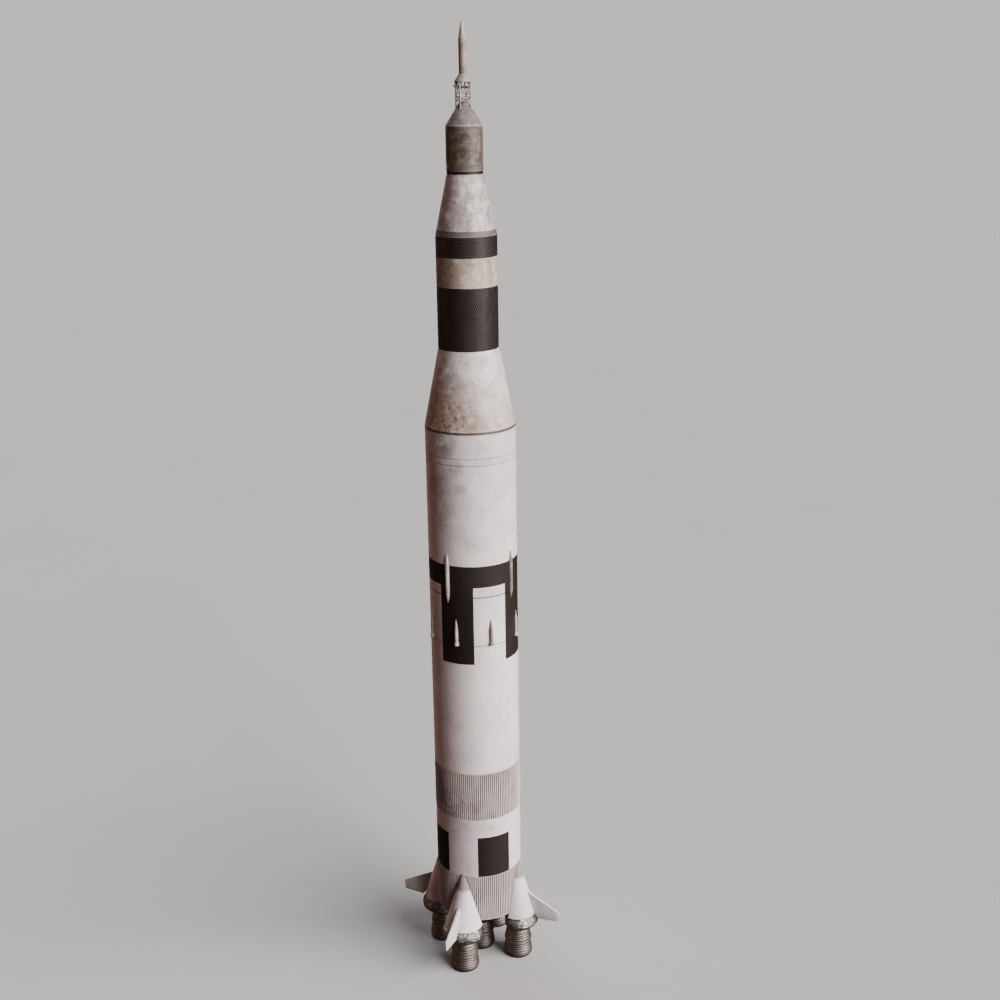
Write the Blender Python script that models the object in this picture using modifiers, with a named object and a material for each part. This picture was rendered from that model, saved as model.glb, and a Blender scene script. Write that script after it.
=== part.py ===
"""Three-stage space rocket, a 1:10 scale model, standing on its five engine nozzles.

Metres, +Z up, the origin on the floor under the rocket's axis. Azimuth 0 is the -Y side,
where fin 1 is, and it grows towards +X, so fin 2 is at +X, fin 3 at +Y and fin 4 at -X.
"""
from math import cos, hypot, pi, radians, sin

import bmesh
import bpy
from mathutils import Matrix, Vector

for old in list(bpy.data.objects):
    bpy.data.objects.remove(old, do_unlink=True)

SEAT = 0.0003               # gap between two pieces that touch
QUARTERS = (0, 90, 180, 270)

# Body of the first and second stages, from the bottom up
BODY_R = 0.503
HEAT_SHIELD_Z = 0.640       # underside of the base plate
AFT_SKIRT_Z = 0.652
AFT_SKIRT_TOP_Z = 1.235
INTERTANK_Z = 1.986
INTERTANK_TOP_Z = 2.579
FORWARD_SKIRT_Z = 3.962
INTERSTAGE_Z = 4.183
SECOND_STAGE_Z = 4.758
HYDROGEN_TANK_Z = 5.130
SECOND_FORWARD_Z = 6.281
CONE_Z = 6.638

# Third stage and spacecraft
THIRD_R = 0.3302
THIRD_STAGE_Z = 7.494
THIRD_TANK_Z = 7.714
THIRD_FORWARD_Z = 8.480
ADAPTER_Z = 8.698
SERVICE_R = 0.1955
SERVICE_Z = 9.327
COMMAND_Z = 9.799
COVER_LIP_Z = 9.818
TOWER_Z = 9.980             # middle of the tower's feet, on the cover's flank
ESCAPE_SKIRT_Z = 10.246
ESCAPE_MOTOR_Z = 10.325
ESCAPE_NOSE_Z = 10.662
TIP_Z = 10.856
ESCAPE_R = 0.0413

# Ribs that run up the two fluted bands
RIBS = 128
RIB_CREST_R = 0.505
RIB_VALLEY_R = 0.4985

# Outer engines: the gimbal's centre, and how far the engine is from the axis
ENGINE_OUT = 0.495
PIVOT_Z = 0.610
NECK_R = 0.085
PIN_R = 0.008
PIN_HOLE_R = 0.0085
EAR_IN = 0.027
EAR_OUT = 0.037
EAR_WIDE = 0.026
PIN_REACH = 0.041

# Engine fairing, a cone over the engine that the body's side cuts open
FAIRING_TIP_Z = 1.380       # inside the body
FAIRING_TIP_OUT = 0.466
FAIRING_FOOT_Z = 0.587
FAIRING_FOOT_OUT = 0.494
FAIRING_FOOT_R = 0.224
FAIRING_SKIN = 0.008

FIN_ROOT_TOP_Z = 0.866
FIN_ROOT_THICK = 0.034
FIN_TIP_THICK = 0.014
FIN_TIP_OUT = 1.028

COLOURS = {
    # name: (red, green, blue, roughness, metallic)
    "white_paint": (0.80, 0.78, 0.76, 0.55, 0.0),
    "cream_paint": (0.74, 0.69, 0.60, 0.60, 0.0),
    "grey_paint": (0.62, 0.60, 0.58, 0.60, 0.0),
    "black_paint": (0.025, 0.023, 0.022, 0.60, 0.0),
    "bronze_metal": (0.30, 0.27, 0.24, 0.42, 0.85),
    "nozzle_metal": (0.34, 0.30, 0.27, 0.38, 0.95),
    "silver_foil": (0.62, 0.60, 0.58, 0.30, 0.95),
    "steel": (0.45, 0.44, 0.43, 0.40, 0.90),
}

parts = bpy.data.collections.new("space_rocket")
cutters = bpy.data.collections.new("cutters")
for group in (parts, cutters):
    bpy.context.scene.collection.children.link(group)


def material_for(name, colour):
    red, green, blue, rough, metal = COLOURS[colour]
    mat = bpy.data.materials.new(name)
    mat.use_nodes = True
    shader = mat.node_tree.nodes["Principled BSDF"]
    shader.inputs["Base Color"].default_value = (red, green, blue, 1.0)
    shader.inputs["Roughness"].default_value = rough
    shader.inputs["Metallic"].default_value = metal
    mat.diffuse_color = (red, green, blue, 1.0)
    return mat


def add(name, mesh, colour, spot=(0, 0, 0), turn=0.0, parent=None):
    """Put a mesh in the rocket as a named sub-part."""
    obj = bpy.data.objects.new(name, mesh)
    parts.objects.link(obj)
    obj.location = spot
    obj.rotation_euler = (0, 0, radians(turn))
    if parent:
        obj.parent = parent
    if not mesh.materials:
        mesh.materials.append(None)
    obj.material_slots[0].link = "OBJECT"
    obj.material_slots[0].material = material_for(name, colour)
    return obj


def cutter(name, mesh, spot=(0, 0, 0)):
    obj = bpy.data.objects.new(name, mesh)
    cutters.objects.link(obj)
    obj.location = spot
    obj.hide_render = True
    obj.display_type = "WIRE"
    return obj


def boolean(obj, tool, operation="DIFFERENCE"):
    mod = obj.modifiers.new(tool.name, "BOOLEAN")
    mod.operation = operation
    mod.object = tool
    return mod


def mesh_from(bm, name, smooth_below=35.0):
    mesh = bpy.data.meshes.new(name)
    bmesh.ops.recalc_face_normals(bm, faces=bm.faces)
    bm.to_mesh(mesh)
    bm.free()
    mesh.shade_smooth()
    mesh.set_sharp_from_angle(angle=radians(smooth_below))
    return mesh


def profile_mesh(name, points, closed=False):
    """A line of (radius, height) points at +X, for a Screw modifier."""
    bm = bmesh.new()
    verts = [bm.verts.new((r, 0, z)) for r, z in points]
    ends = verts[1:] + verts[:1] if closed else verts[1:]
    for start, end in zip(verts, ends):
        bm.edges.new((start, end))
    mesh = bpy.data.meshes.new(name)
    bm.to_mesh(mesh)
    bm.free()
    return mesh


def screw(obj, segments):
    mod = obj.modifiers.new("turn", "SCREW")
    mod.steps = segments
    mod.render_steps = segments
    mod.use_merge_vertices = True
    mod.merge_threshold = 0.00005
    mod.use_smooth_shade = True
    return mod


def turned(name, points, colour, segments=48, spot=(0, 0, 0), turn=0.0, parent=None, closed=False):
    obj = add(name, profile_mesh(name, points, closed), colour, spot, turn, parent)
    screw(obj, segments)
    return obj


def cylinder_mesh(name, radius, low, high, segments):
    bm = bmesh.new()
    bmesh.ops.create_cone(bm, cap_ends=True, segments=segments, radius1=radius, radius2=radius,
                          depth=high - low, matrix=Matrix.Translation((0, 0, (low + high) / 2)))
    return mesh_from(bm, name)


def box_mesh(name, low, high):
    bm = bmesh.new()
    size = [b - a for a, b in zip(low, high)]
    middle = [(a + b) / 2 for a, b in zip(low, high)]
    bmesh.ops.create_cube(bm, size=1.0, matrix=Matrix.Translation(middle) @ Matrix.Diagonal((*size, 1)))
    return mesh_from(bm, name)


def out_at(azimuth, distance, z=0.0):
    """A point at this azimuth and distance from the rocket's axis."""
    a = radians(azimuth)
    return (distance * sin(a), -distance * cos(a), z)


def rod_mesh(name, start, end, radius, sides=8):
    start, end = Vector(start), Vector(end)
    along = end - start
    place = Matrix.Translation((start + end) / 2) @ along.to_track_quat("Z", "Y").to_matrix().to_4x4()
    bm = bmesh.new()
    bmesh.ops.create_cone(bm, cap_ends=True, segments=sides, radius1=radius, radius2=radius,
                          depth=along.length, matrix=place)
    return mesh_from(bm, name)


def fixed_mesh(obj):
    """Turn an object's modifiers into plain geometry."""
    depsgraph = bpy.context.evaluated_depsgraph_get()
    mesh = bpy.data.meshes.new_from_object(obj.evaluated_get(depsgraph))
    obj.modifiers.clear()
    obj.data = mesh
    obj.material_slots[0].link = "OBJECT"
    return mesh


# Barrel sections of the stages, each a plain drum between two heights

def drum(name, radius, low, high, colour, segments=48, radius_top=None):
    top = radius if radius_top is None else radius_top
    return turned(name, [(0, high - SEAT / 2), (top, high - SEAT / 2), (radius, low + SEAT / 2),
                         (0, low + SEAT / 2)], colour, segments)


def fluted_drum(name, low, high, colour):
    """A drum with an upright rib on every step of its outline."""
    bm = bmesh.new()
    bmesh.ops.create_cone(bm, cap_ends=True, segments=2 * RIBS, radius1=1, radius2=1,
                          depth=high - low - SEAT, matrix=Matrix.Translation((0, 0, (low + high) / 2)))
    for vert in bm.verts:
        step = round(Vector((vert.co.x, vert.co.y)).angle_signed(Vector((1, 0))) / (pi / RIBS))
        radius = RIB_CREST_R if step % 2 == 0 else RIB_VALLEY_R
        vert.co.x *= radius
        vert.co.y *= radius
    return add(name, mesh_from(bm, name, 15.0), colour)


BARRELS = (
    # name, radius at the bottom, radius at the top, bottom, top, colour
    ("fuel_tank", BODY_R, BODY_R, AFT_SKIRT_TOP_Z, INTERTANK_Z, "white_paint"),
    ("oxidiser_tank", BODY_R, BODY_R, INTERTANK_TOP_Z, FORWARD_SKIRT_Z, "white_paint"),
    ("first_stage_forward_skirt", BODY_R, BODY_R, FORWARD_SKIRT_Z, INTERSTAGE_Z, "white_paint"),
    ("interstage_ring", BODY_R, BODY_R, INTERSTAGE_Z, SECOND_STAGE_Z, "white_paint"),
    ("second_stage_aft_skirt", BODY_R, BODY_R, SECOND_STAGE_Z, HYDROGEN_TANK_Z, "black_paint"),
    ("hydrogen_tank", BODY_R, BODY_R, HYDROGEN_TANK_Z, SECOND_FORWARD_Z, "white_paint"),
    ("second_stage_forward_skirt", BODY_R, BODY_R, SECOND_FORWARD_Z, CONE_Z, "white_paint"),
    ("conical_interstage", BODY_R, THIRD_R, CONE_Z, THIRD_STAGE_Z, "white_paint"),
    ("third_stage_aft_skirt", THIRD_R, THIRD_R, THIRD_STAGE_Z, THIRD_TANK_Z, "black_paint"),
    ("third_stage_tank", THIRD_R, THIRD_R, THIRD_TANK_Z, THIRD_FORWARD_Z, "cream_paint"),
    ("third_stage_forward_skirt", THIRD_R, THIRD_R, THIRD_FORWARD_Z, ADAPTER_Z, "black_paint"),
    ("spacecraft_adapter", THIRD_R, SERVICE_R, ADAPTER_Z, SERVICE_Z, "grey_paint"),
    ("service_module", SERVICE_R, SERVICE_R, SERVICE_Z, COMMAND_Z, "bronze_metal"),
)
for piece, foot_r, head_r, low, high, colour in BARRELS:
    drum(piece, foot_r, low, high, colour, 48, head_r)

fluted_drum("aft_skirt", AFT_SKIRT_Z, AFT_SKIRT_TOP_Z, "grey_paint")
fluted_drum("intertank", INTERTANK_Z, INTERTANK_TOP_Z, "grey_paint")

PEAK_R = 0.036
PEAK_Z = 10.064
COVER_PROFILE = (
    # radius, height: the round peak inside the tower, the cone, the lip
    (0.0, 10.082),
    (0.014, 10.080),
    (0.026, 10.073),
    (PEAK_R, PEAK_Z),
    (SERVICE_R, COVER_LIP_Z),
    (SERVICE_R, COMMAND_Z + SEAT / 2),
    (0.0, COMMAND_Z + SEAT / 2),
)
turned("command_module_cover", COVER_PROFILE, "grey_paint", 48)


# Base plate with the outer engines' mounting ears

PLATE_R = 0.497
LOBE_R = 0.186
EAR_DROP = 0.018            # how far an ear reaches below the pin
EAR_SUNK = 0.004            # how far its top stays under the plate's upper face
HOLE_REACH = 0.060          # half length of the tool that drills both ears


def heat_shield():
    high = AFT_SKIRT_Z - SEAT / 2
    plate = add("base_heat_shield", cylinder_mesh("base_heat_shield", PLATE_R, HEAT_SHIELD_Z, high, 48),
                "grey_paint")
    lobe = cylinder_mesh("engine_lobe", LOBE_R, HEAT_SHIELD_Z, high, 32)
    low_ear = PIVOT_Z - EAR_DROP
    for azimuth in QUARTERS:
        boolean(plate, cutter(f"lobe_{azimuth}", lobe, out_at(azimuth, ENGINE_OUT)), "UNION")
    for azimuth in QUARTERS:
        for side in (-1, 1):
            near, far = sorted((side * EAR_IN, side * EAR_OUT))
            low_corner, high_corner = (near, -EAR_WIDE / 2, low_ear), (far, EAR_WIDE / 2, high - EAR_SUNK)
            block = box_mesh("mount_ear", low_corner, high_corner)
            ear = cutter(f"ear_{azimuth}_{side}", block, out_at(azimuth, ENGINE_OUT))
            ear.rotation_euler.z = radians(azimuth)
            boolean(plate, ear, "UNION")
        hole = cutter(f"mount_pin_hole_{azimuth}",
                      rod_mesh("mount_pin_hole", (-HOLE_REACH, 0, 0), (HOLE_REACH, 0, 0), PIN_HOLE_R, 16),
                      out_at(azimuth, ENGINE_OUT, PIVOT_Z))
        hole.rotation_euler.z = radians(azimuth)
        boolean(plate, hole)
    return plate


heat_shield()


# Engine fairings, fins and the foil bowls that close the fairings

def fairing_mesh():
    """Leaning cone, open below, from its tip inside the body to its level foot."""
    bm = bmesh.new()
    bmesh.ops.create_cone(bm, cap_ends=False, segments=48, radius1=FAIRING_FOOT_R, radius2=0.0, depth=1.0)
    for vert in bm.verts:
        share = vert.co.z + 0.5
        vert.co.y -= FAIRING_FOOT_OUT + (FAIRING_TIP_OUT - FAIRING_FOOT_OUT) * share
        vert.co.z = FAIRING_FOOT_Z + (FAIRING_TIP_Z - FAIRING_FOOT_Z) * share
    bmesh.ops.remove_doubles(bm, verts=bm.verts, dist=0.00005)
    return mesh_from(bm, "engine_fairing")


skirt_clearance = cutter("skirt_clearance", cylinder_mesh(
    "skirt_clearance", (RIB_CREST_R + SEAT) / cos(pi / 96), 0.2, 2.0, 96))
fairing_shape = fairing_mesh()
for number, azimuth in enumerate(QUARTERS, 1):
    fairing = add(f"engine_fairing_{number}", fairing_shape, "white_paint", turn=azimuth)
    shell = fairing.modifiers.new("skin", "SOLIDIFY")
    shell.thickness = FAIRING_SKIN
    shell.offset = -1.0
    boolean(fairing, skirt_clearance)


def fairing_front(z):
    """How far the middle of the fairing's front is from the rocket's axis."""
    share = (FAIRING_TIP_Z - z) / (FAIRING_TIP_Z - FAIRING_FOOT_Z)
    return FAIRING_TIP_OUT + (FAIRING_FOOT_OUT + FAIRING_FOOT_R - FAIRING_TIP_OUT) * share


def fin_mesh():
    outline = (
        # distance from the rocket's axis, height
        (fairing_front(FIN_ROOT_TOP_Z) + 2 * SEAT, FIN_ROOT_TOP_Z),
        (FIN_TIP_OUT - 0.006, 0.656),
        (FIN_TIP_OUT, 0.646),
        (1.019, 0.5355),
        (0.764, 0.521),
        (fairing_front(FAIRING_FOOT_Z) + 2 * SEAT, FAIRING_FOOT_Z),
    )
    curve = bpy.data.curves.new("fin_outline", "CURVE")
    curve.dimensions = "2D"
    curve.fill_mode = "BOTH"
    curve.extrude = 0.5
    line = curve.splines.new("POLY")
    line.points.add(len(outline) - 1)
    for point, (out, z) in zip(line.points, outline):
        point.co = (out, z, 0, 1)
    line.use_cyclic_u = True
    flat = bpy.data.objects.new("fin_outline", curve)
    cutters.objects.link(flat)
    depsgraph = bpy.context.evaluated_depsgraph_get()
    mesh = bpy.data.meshes.new_from_object(flat.evaluated_get(depsgraph))
    bpy.data.objects.remove(flat)
    bm = bmesh.new()
    bm.from_mesh(mesh)
    bmesh.ops.remove_doubles(bm, verts=bm.verts, dist=0.0001)
    root_out = outline[0][0]
    for vert in bm.verts:
        out, z, side = vert.co
        spread = min(1.0, (out - root_out) / (FIN_TIP_OUT - root_out))
        thick = FIN_ROOT_THICK + (FIN_TIP_THICK - FIN_ROOT_THICK) * spread
        vert.co = (side * thick, -out, z)
    return mesh_from(bm, "fin")


fin_shape = fin_mesh()
for number, azimuth in enumerate(QUARTERS, 1):
    add(f"fin_{number}", fin_shape, "white_paint", turn=azimuth)

BOWL_SECTIONS = (
    # height, shift outwards from the engine's axis, half depth, half width
    (HEAT_SHIELD_Z - SEAT, 0.026, 0.156, 0.180),
    (0.585, 0.034, 0.172, 0.200),
    (0.530, 0.050, 0.196, 0.236),
    (0.480, 0.055, 0.202, 0.246),
    (0.440, 0.045, 0.192, 0.230),
    (0.410, 0.025, 0.175, 0.200),
    (0.385, 0.008, 0.153, 0.163),
    (0.366, 0.000, 0.136, 0.136),
)
BOWL_SKIN = 0.005
BOWL_SIDES = 20


def bowl_mesh():
    bm = bmesh.new()
    rings = []
    for z, shift, half_deep, half_wide in BOWL_SECTIONS:
        ring = []
        for i in range(BOWL_SIDES):
            a = 2 * pi * i / BOWL_SIDES
            ring.append(bm.verts.new((half_wide * sin(a), -shift - half_deep * cos(a), z)))
        rings.append([bm.edges.new((a, b)) for a, b in zip(ring, ring[1:] + ring[:1])])
    for upper, lower in zip(rings, rings[1:]):
        bmesh.ops.bridge_loops(bm, edges=upper + lower)
    return mesh_from(bm, "fairing_closeout")


bowl_shape = bowl_mesh()
for number, azimuth in enumerate(QUARTERS, 1):
    bowl = add(f"fairing_closeout_{number}", bowl_shape, "silver_foil", out_at(azimuth, ENGINE_OUT), azimuth)
    shell = bowl.modifiers.new("skin", "SOLIDIFY")
    shell.thickness = BOWL_SKIN
    shell.offset = -1.0


# Engines. Heights are the rocket's, and each outer engine hangs from its gimbal

CHAMBER_OUTSIDE = (
    # radius, height
    (0.048, 0.552),
    (0.080, 0.540),
    (NECK_R, 0.515),
    (NECK_R, 0.3365),
    (0.110, 0.3460),
    (0.128, 0.3542),
    (0.136, 0.3450),
    (0.142, 0.3180),
    (0.150, 0.2800),
    (0.157, 0.2450),
    (0.160, 0.2280),
    (0.164, 0.2220),
    (0.164, 0.2100),
    (0.158, 0.2080),
)
CHAMBER_INSIDE = (
    (0.142, 0.2080),
    (0.130, 0.2500),
    (0.104, 0.2900),
    (0.066, 0.3250),
    (0.044, 0.3700),
    (0.052, 0.4200),
    (0.052, 0.4700),
    (0.0, 0.4700),
)
NOZZLE_OUTSIDE = (
    (0.1420, 0.2077),
    (0.1520, 0.2077),
    (0.1540, 0.1650),
    (0.1600, 0.1250),
    (0.1675, 0.0850),
    (0.1715, 0.0500),
    (0.1680, 0.0200),
    (0.1580, 0.0000),
)
NOZZLE_INSIDE = (
    (0.1500, 0.0000),
    (0.1590, 0.0200),
    (0.1625, 0.0500),
    (0.1585, 0.0850),
    (0.1510, 0.1250),
    (0.1450, 0.1650),
)
ENGINE_SIDES = 20
HEAD_Z = 0.552              # top of an outer engine's chamber
CHAMBER_EAR_Z = 0.546       # where its two ears are sunk into it
CHAMBER_EAR_RISE = 0.016    # how far they reach above the pin
CROSS_SIZE = 0.024


def lowered(points, z):
    return [(r, height - z) for r, height in points]


def thrust_chamber(name, spot, turn, parent, top):
    """Turned chamber, closed at the top, whose inside opens to the nozzle below."""
    points = [(0.0, top)] + lowered(CHAMBER_OUTSIDE + CHAMBER_INSIDE, PIVOT_Z)
    return turned(name, points, "nozzle_metal", ENGINE_SIDES, spot, turn, parent)


def pivot_empty(name, azimuth, distance):
    empty = bpy.data.objects.new(name, None)
    parts.objects.link(empty)
    empty.location = out_at(azimuth, distance, PIVOT_Z)
    empty.rotation_euler.z = radians(azimuth)
    return empty


def cross_mesh():
    """Block of the gimbal cross, which four pins join, two across and two outwards."""
    bm = bmesh.new()
    bmesh.ops.create_cube(bm, size=CROSS_SIZE)
    return mesh_from(bm, "gimbal_cross")


cross_shape = cross_mesh()
pin_across = cutter("pin_across", rod_mesh(
    "pin_across", (-PIN_REACH, 0, 0), (PIN_REACH, 0, 0), PIN_R, 16))
pin_outwards = cutter("pin_outwards", rod_mesh(
    "pin_outwards", (0, -PIN_REACH, 0), (0, PIN_REACH, 0), PIN_R, 16))
chamber_ears = [
    cutter(f"chamber_ear_{side}", box_mesh(
        "chamber_ear",
        (-EAR_WIDE / 2, min(side * EAR_IN, side * EAR_OUT), CHAMBER_EAR_Z - PIVOT_Z),
        (EAR_WIDE / 2, max(side * EAR_IN, side * EAR_OUT), CHAMBER_EAR_RISE)))
    for side in (-1, 1)
]
chamber_hole = cutter("chamber_pin_hole", rod_mesh(
    "chamber_pin_hole", (0, -HOLE_REACH, 0), (0, HOLE_REACH, 0), PIN_HOLE_R, 16))

helper_cross = add("gimbal_cross", cross_shape, "steel")
boolean(helper_cross, pin_across, "UNION")
boolean(helper_cross, pin_outwards, "UNION")
cross_shape = fixed_mesh(helper_cross)
bpy.data.objects.remove(helper_cross)

helper_chamber = thrust_chamber("thrust_chamber", (0, 0, 0), 0, None, HEAD_Z - PIVOT_Z)
for ear in chamber_ears:
    boolean(helper_chamber, ear, "UNION")
boolean(helper_chamber, chamber_hole)
chamber_shape = fixed_mesh(helper_chamber)
bpy.data.objects.remove(helper_chamber)

for number, azimuth in enumerate(QUARTERS, 1):
    pivot = pivot_empty(f"gimbal_{number}", azimuth, ENGINE_OUT)
    add(f"gimbal_cross_{number}", cross_shape, "steel", parent=pivot)
    add(f"thrust_chamber_{number}", chamber_shape, "nozzle_metal", parent=pivot)
    turned(f"nozzle_extension_{number}", lowered(NOZZLE_OUTSIDE + NOZZLE_INSIDE, PIVOT_Z), "nozzle_metal",
           ENGINE_SIDES, parent=pivot, closed=True)

CENTRE_STALK = (
    # the fixed centre engine's chamber reaches up to the base plate
    (0.0, HEAT_SHIELD_Z - SEAT),
    (0.060, HEAT_SHIELD_Z - SEAT),
    (0.060, 0.570),
)
turned("thrust_chamber_centre", CENTRE_STALK + CHAMBER_OUTSIDE[1:] + CHAMBER_INSIDE, "nozzle_metal",
       ENGINE_SIDES)
turned("nozzle_extension_centre", NOZZLE_OUTSIDE + NOZZLE_INSIDE, "nozzle_metal", ENGINE_SIDES, closed=True)


# Small motors and line fairings on the skin, each a turned form cut by the body's side

body_side = cutter("body_side", cylinder_mesh("body_side", BODY_R + SEAT, 3.9, 5.6, 96))

ULLAGE_PROFILE = (
    (0.0, 4.505),
    (0.007, 4.480),
    (0.020, 4.400),
    (0.020, 4.235),
    (0.028, 4.212),
    (0.028, 4.190),
    (0.0, 4.190),
)
FEED_LINE_PROFILE = (
    (0.0, 5.262),
    (0.018, 5.165),
    (0.024, 5.111),
    (0.024, 4.796),
    (0.018, 4.755),
    (0.0, 4.680),
)


def blister(name, points, colour, azimuth, sunk, sides=16):
    obj = turned(name, points, colour, sides, out_at(azimuth, BODY_R + sunk), azimuth)
    boolean(obj, body_side)
    return obj


for i in range(8):
    blister(f"ullage_motor_{i + 1}", ULLAGE_PROFILE, "white_paint", 45 * i, 0.010)
for number, azimuth in enumerate(QUARTERS, 1):
    blister(f"feed_line_fairing_{number}", FEED_LINE_PROFILE, "white_paint", azimuth - 11.25, 0.004)


# Escape tower, its skirt with four nozzles, motor and nose

TOWER_FOOT_OUT = 0.084
TOWER_HEAD_OUT = 0.082
TOWER_TUBE_R = 0.0078
BRACE_R = 0.0050
TOWER_RINGS_Z = (10.058, 10.108)
TOWER_HEAD_Z = 10.234       # where the upper bay's braces meet the legs
FOOT_LOW_Z = 9.968          # the legs reach down to here before the cover's flank cuts them
FOOT_CUT_Z = (9.950, 10.030)
BELL_MOUTH_R = 0.024
BELL_THROAT_R = 0.010
BELL_LONG = 0.078
BELL_LEAN = 30
BELL_OUT = 0.070            # place of a bell's middle
BELL_DROP = 0.018


def tower_leg_point(azimuth, z):
    share = (z - TOWER_Z) / (ESCAPE_SKIRT_Z - TOWER_Z)
    return out_at(azimuth, TOWER_FOOT_OUT + (TOWER_HEAD_OUT - TOWER_FOOT_OUT) * share, z)


def flank_mesh():
    """The cover's cone round the legs' feet, larger by the seat gap."""
    slope = (SERVICE_R - PEAK_R) / (PEAK_Z - COVER_LIP_Z)
    gap = SEAT * hypot(1, slope)
    foot_r, head_r = (PEAK_R + (PEAK_Z - z) * slope + gap for z in FOOT_CUT_Z)
    low, high = FOOT_CUT_Z
    bm = bmesh.new()
    bmesh.ops.create_cone(bm, cap_ends=True, segments=48, radius1=foot_r, radius2=head_r,
                          depth=high - low, matrix=Matrix.Translation((0, 0, (low + high) / 2)))
    return mesh_from(bm, "cover_flank")


def escape_tower():
    """Four legs cut to the cover's flank, two square rings, and crossed braces."""
    low, high = FOOT_LOW_Z, ESCAPE_SKIRT_Z - 2 * SEAT
    lower_ring, upper_ring = TOWER_RINGS_Z
    first_leg = rod_mesh("escape_tower", tower_leg_point(0, low), tower_leg_point(0, high), TOWER_TUBE_R)
    first = add("escape_tower", first_leg, "grey_paint")
    rods = [(tower_leg_point(a, low), tower_leg_point(a, high), TOWER_TUBE_R) for a in QUARTERS[1:]]
    spans = (
        # height at one leg, height at the next
        (lower_ring, lower_ring),
        (upper_ring, upper_ring),
        (lower_ring, upper_ring),
        (upper_ring, lower_ring),
        (upper_ring, TOWER_HEAD_Z),
        (TOWER_HEAD_Z, upper_ring),
    )
    for azimuth in QUARTERS:
        for start_z, end_z in spans:
            rods.append((tower_leg_point(azimuth, start_z), tower_leg_point(azimuth + 90, end_z), BRACE_R))
    for i, (start, end, radius) in enumerate(rods):
        boolean(first, cutter(f"tower_rod_{i}", rod_mesh(f"tower_rod_{i}", start, end, radius, 6)), "UNION")
    boolean(first, cutter("cover_flank", flank_mesh()))
    return first


escape_tower()

SKIRT_PROFILE = (
    (0.0, ESCAPE_MOTOR_Z - SEAT / 2),
    (ESCAPE_R + 0.002, ESCAPE_MOTOR_Z - SEAT / 2),
    (0.094, ESCAPE_SKIRT_Z + 0.010),
    (0.094, ESCAPE_SKIRT_Z),
    (0.0, ESCAPE_SKIRT_Z),
)


def escape_skirt():
    skirt = turned("escape_skirt", SKIRT_PROFILE, "grey_paint", 32)
    for azimuth in QUARTERS:
        bm = bmesh.new()
        bmesh.ops.create_cone(bm, cap_ends=True, segments=12, radius1=BELL_MOUTH_R, radius2=BELL_THROAT_R,
                              depth=BELL_LONG)
        bell = cutter(f"escape_bell_{azimuth}", mesh_from(bm, "escape_bell"),
                      out_at(azimuth + 45, BELL_OUT, ESCAPE_SKIRT_Z - BELL_DROP))
        bell.rotation_euler = (radians(-BELL_LEAN), 0, radians(azimuth + 45))
        boolean(skirt, bell, "UNION")
    return skirt


escape_skirt()

turned("escape_motor", ((0.0, ESCAPE_NOSE_Z - SEAT), (ESCAPE_R, ESCAPE_NOSE_Z - SEAT),
                        (ESCAPE_R, ESCAPE_MOTOR_Z + SEAT / 2), (0.0, ESCAPE_MOTOR_Z + SEAT / 2)),
       "cream_paint", 24)
NOSE_PROFILE = (
    (0.0, TIP_Z),
    (0.006, 10.852),
    (0.018, 10.800),
    (0.0275, 10.755),
    (0.036, 10.700),
    (ESCAPE_R, 10.670),
    (ESCAPE_R, ESCAPE_NOSE_Z),
    (0.0, ESCAPE_NOSE_Z),
)
turned("escape_nose", NOSE_PROFILE, "white_paint", 24)
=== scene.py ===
import bpy
import bmesh
from math import atan2, cos, pi, radians, sin, tan, tau
from mathutils import Matrix, Vector, noise


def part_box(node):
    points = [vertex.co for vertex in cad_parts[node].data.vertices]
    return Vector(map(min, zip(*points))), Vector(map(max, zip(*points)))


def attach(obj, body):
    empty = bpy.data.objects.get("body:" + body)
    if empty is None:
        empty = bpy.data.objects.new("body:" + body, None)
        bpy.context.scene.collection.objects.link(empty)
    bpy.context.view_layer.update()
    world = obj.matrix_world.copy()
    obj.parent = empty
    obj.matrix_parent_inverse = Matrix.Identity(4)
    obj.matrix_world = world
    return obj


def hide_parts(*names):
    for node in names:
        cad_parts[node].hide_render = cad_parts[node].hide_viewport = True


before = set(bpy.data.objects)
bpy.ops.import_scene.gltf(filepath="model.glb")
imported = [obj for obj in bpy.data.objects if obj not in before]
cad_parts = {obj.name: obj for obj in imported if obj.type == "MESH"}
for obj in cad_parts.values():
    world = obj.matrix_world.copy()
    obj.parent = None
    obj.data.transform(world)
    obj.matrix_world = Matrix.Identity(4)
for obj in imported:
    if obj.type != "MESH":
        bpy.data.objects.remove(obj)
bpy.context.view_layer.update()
print("frame loaded:", len(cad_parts), "nodes")

scene = bpy.context.scene
quarters = (0, 90, 180, 270)
engineOut = 0.495  # distance of an outer engine from the rocket's axis
ringPitch = 0.0285  # height of one ring wrapped round a bell
mergeDistance = 0.00002
signs = {"+": "ADD", "-": "SUBTRACT", "*": "MULTIPLY", "/": "DIVIDE"}
shading = {}  # holds the shader tree that the helpers add their nodes to


def outAt(azimuth, distance, height=0.0):
    a = radians(azimuth)
    return Vector((distance * sin(a), -distance * cos(a), height))


def turned(degrees, axis="Z"):
    return Matrix.Rotation(radians(degrees), 4, axis)


# small helpers for shader trees
def join(source, target):
    if isinstance(source, (int, float)):
        target.default_value = source
    elif isinstance(source, tuple):
        target.default_value = source if len(target.default_value) == len(source) else (*source, 1.0)
    else:
        shading["tree"].links.new(source, target)


def addNode(kind, inputs=None, **values):
    node = shading["tree"].nodes.new("ShaderNode" + kind)
    for key, value in values.items():
        setattr(node, key, value)
    for key, value in (inputs or {}).items():
        join(value, node.inputs[key])
    return node


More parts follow.
